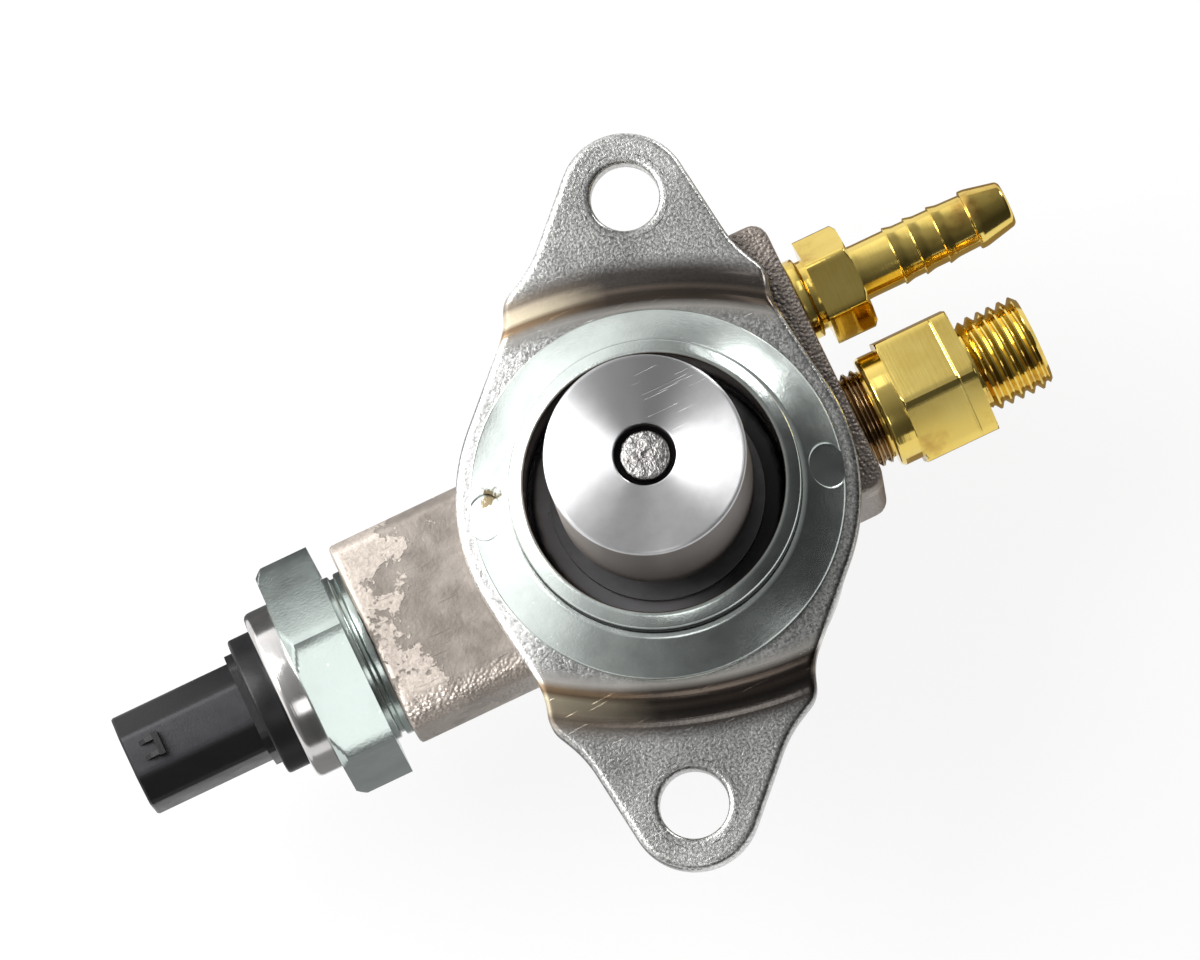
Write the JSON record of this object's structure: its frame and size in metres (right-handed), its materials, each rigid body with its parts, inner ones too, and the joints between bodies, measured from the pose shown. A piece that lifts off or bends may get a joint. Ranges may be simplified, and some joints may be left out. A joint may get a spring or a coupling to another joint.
{
  "type": "high pressure fuel pump",
  "caption": "Single piston fuel pump with a two ear mounting plate, spring cup over the plunger, solenoid valve arm with a plug, hose barb inlet and threaded union outlet.",
  "frame": {"origin": "on the pump axis at the level of the ears' mounting faces, centred between the bolt holes", "axes": "+Z along the plunger towards the cam, +X along the outlet union, the solenoid arm along -X"},
  "size_m": [0.126, 0.087, 0.07],
  "materials": {
    "plate_steel": "pressed and nickel plated, fine grain",
    "cast_body": "cast skin, plated",
    "turned_steel": "turned, bright",
    "zinc": "bluish zinc plating",
    "spring_steel": "drawn wire",
    "brass": "polished",
    "black_rubber": "matt",
    "seal_polymer": "filled fluoropolymer",
    "black_plastic": "moulded, semi-gloss",
    "bobbin_plastic": "moulded",
    "copper": "enamelled wire",
    "terminal_tin": "tin plated"
  },
  "bodies": {
    "pump": {"mounting_flange": "plate_steel", "pump_body": "cast_body", "pilot_collar": "zinc", "pilot_o_ring": "black_rubber", "plunger_spring": "spring_steel", "cylinder_sleeve": "turned_steel", "seal_carrier": "turned_steel", "plunger_seal": "seal_polymer", "inlet_valve_seat": "turned_steel", "solenoid_housing": "zinc", "armature_sleeve": "turned_steel", "solenoid_core": "turned_steel", "coil_bobbin": "bobbin_plastic", "coil_winding": "copper", "solenoid_cap_ring": "turned_steel", "housing_seal": "black_rubber", "connector_body": "black_plastic", "connector_terminals": "terminal_tin", "outlet_fitting": "brass", "outlet_valve_seat": "turned_steel", "inlet_fitting": "brass", "inlet_strainer": "turned_steel", "relief_valve_seat": "turned_steel", "relief_plug": "turned_steel", "relief_valve_spring": "spring_steel", "damper_cover": "plate_steel", "damper_diaphragm_upper": "turned_steel", "damper_diaphragm_lower": "turned_steel", "damper_support_upper": "turned_steel", "damper_support_lower": "turned_steel"},
    "plunger_group": {"plunger": "turned_steel", "spring_retainer": "turned_steel"},
    "inlet_needle": {"inlet_valve_needle": "turned_steel", "armature": "turned_steel", "armature_spring": "spring_steel"},
    "outlet_ball": {"outlet_valve_ball": "turned_steel", "outlet_valve_spring": "spring_steel"},
    "relief_ball": {"relief_valve_ball": "turned_steel"}
  },
  "joints": [
    {"name": "plunger_stroke", "type": "slide", "parent": "pump", "child": "plunger_group", "axis": [0, 0, -1], "range_m": [0, 0.004], "stiffness_N_per_m": 8000, "deforming": ["plunger_spring"]},
    {"name": "inlet_valve_lift", "type": "slide", "parent": "pump", "child": "inlet_needle", "axis": [-1, 0, 0], "range_m": [0, 0.0005], "stiffness_N_per_m": 1500},
    {"name": "outlet_valve_lift", "type": "slide", "parent": "pump", "child": "outlet_ball", "axis": [1, 0, 0], "range_m": [0, 0.0005], "stiffness_N_per_m": 300},
    {"name": "relief_valve_lift", "type": "slide", "parent": "pump", "child": "relief_ball", "axis": [0, 0, -1], "range_m": [0, 0.0005], "stiffness_N_per_m": 300, "deforming": ["relief_valve_spring"]}
  ]
}
